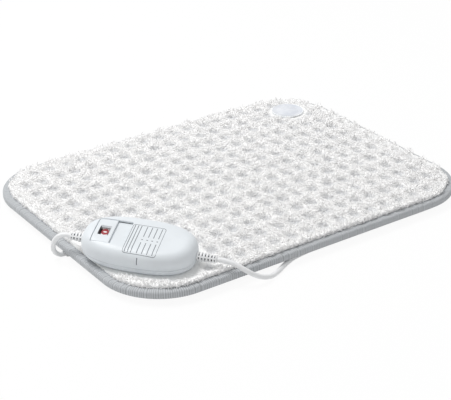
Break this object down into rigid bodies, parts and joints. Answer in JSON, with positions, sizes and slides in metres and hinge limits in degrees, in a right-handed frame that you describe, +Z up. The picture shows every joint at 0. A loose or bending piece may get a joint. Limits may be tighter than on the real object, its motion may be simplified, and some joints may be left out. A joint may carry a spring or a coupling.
{
  "type": "heating pad with controller",
  "caption": "Electric heating pad with a dimpled plush cover, bound edge, layered heater inside and a corded slide controller with a level window and a two-pin mains plug.",
  "frame": {"origin": "middle of the pad's underside, on the surface it lies on", "axes": "+X along the pad's long side, +Y along its short side, away from the edge where the mains lead leaves, +Z up"},
  "size_m": [0.5915, 0.3771, 0.048],
  "materials": {
    "plush": "white teddy plush with a lattice of dimples",
    "backing_cloth": "plain woven backing",
    "wadding": "soft fleece",
    "carrier_fleece": "thin needled fleece",
    "wire_sheath": "silicone sheath",
    "tape": "fine ribbed woven tape",
    "badge_film": "pale translucent film, satin",
    "shell_plastic": "satin gloss moulded",
    "button_plastic": "satin moulded",
    "drum_plastic": "printed with red numerals",
    "cord_jacket": "smooth soft jacket",
    "board_laminate": "solder mask",
    "dark_plastic": "moulded",
    "grey_plastic": "moulded",
    "capacitor_plastic": "dipped",
    "brass": "bright",
    "steel": "zinc plated"
  },
  "bodies": {
    "pad": {"top_cover": "plush", "bottom_cover": "backing_cloth", "upper_wadding": "wadding", "lower_wadding": "wadding", "heater_carrier": "carrier_fleece", "heating_wire": "wire_sheath", "thermal_cutout_1": "dark_plastic", "thermal_cutout_2": "dark_plastic", "crimp_block": "grey_plastic", "edge_binding": "tape", "round_badge": "badge_film", "lead_entry_gland": "cord_jacket", "controller_top_shell": "shell_plastic", "controller_bottom_shell": "shell_plastic", "slide_tray": "grey_plastic", "contact_strip": "brass", "circuit_board": "board_laminate", "triac": "dark_plastic", "fuse": "steel", "film_capacitor": "capacitor_plastic", "drop_resistor": "grey_plastic", "mains_terminal_block": "grey_plastic", "pad_terminal_block": "grey_plastic", "shell_screw_1": "steel", "shell_screw_2": "steel", "shell_screw_3": "steel", "shell_screw_4": "steel", "strain_relief_mains_side": "cord_jacket", "strain_relief_pad_side": "cord_jacket", "pad_lead": "cord_jacket", "mains_lead_run": "cord_jacket", "mains_lead_coil": "cord_jacket", "coil_tie": "dark_plastic", "plug_body": "cord_jacket", "plug_strain_relief": "cord_jacket", "plug_pin_1": "brass", "plug_pin_2": "brass", "plug_pin_sleeve_1": "dark_plastic", "plug_pin_sleeve_2": "dark_plastic"},
    "slider": {"slide_button": "button_plastic", "drum_carriage": "drum_plastic", "wiper_contact": "brass"},
    "drum": {"level_drum": "drum_plastic", "drum_axle": "steel", "drum_roller": "dark_plastic"}
  },
  "joints": [
    {"name": "level_slide", "type": "slide", "parent": "pad", "child": "slider", "axis": [0.6424, -0.7656, -0.0349], "range_m": [0, 0.015]},
    {"name": "level_drum_turn", "type": "hinge", "parent": "slider", "child": "drum", "pos_m": [-0.19577, -0.06393, 0.03708], "axis": [0.7515, 0.6203, 0.2248], "range_deg": [0, 270.2]}
  ],
  "couplings": [
    {"joint": "level_drum_turn", "follows": "level_slide", "rad_per_m": 314.16}
  ]
}
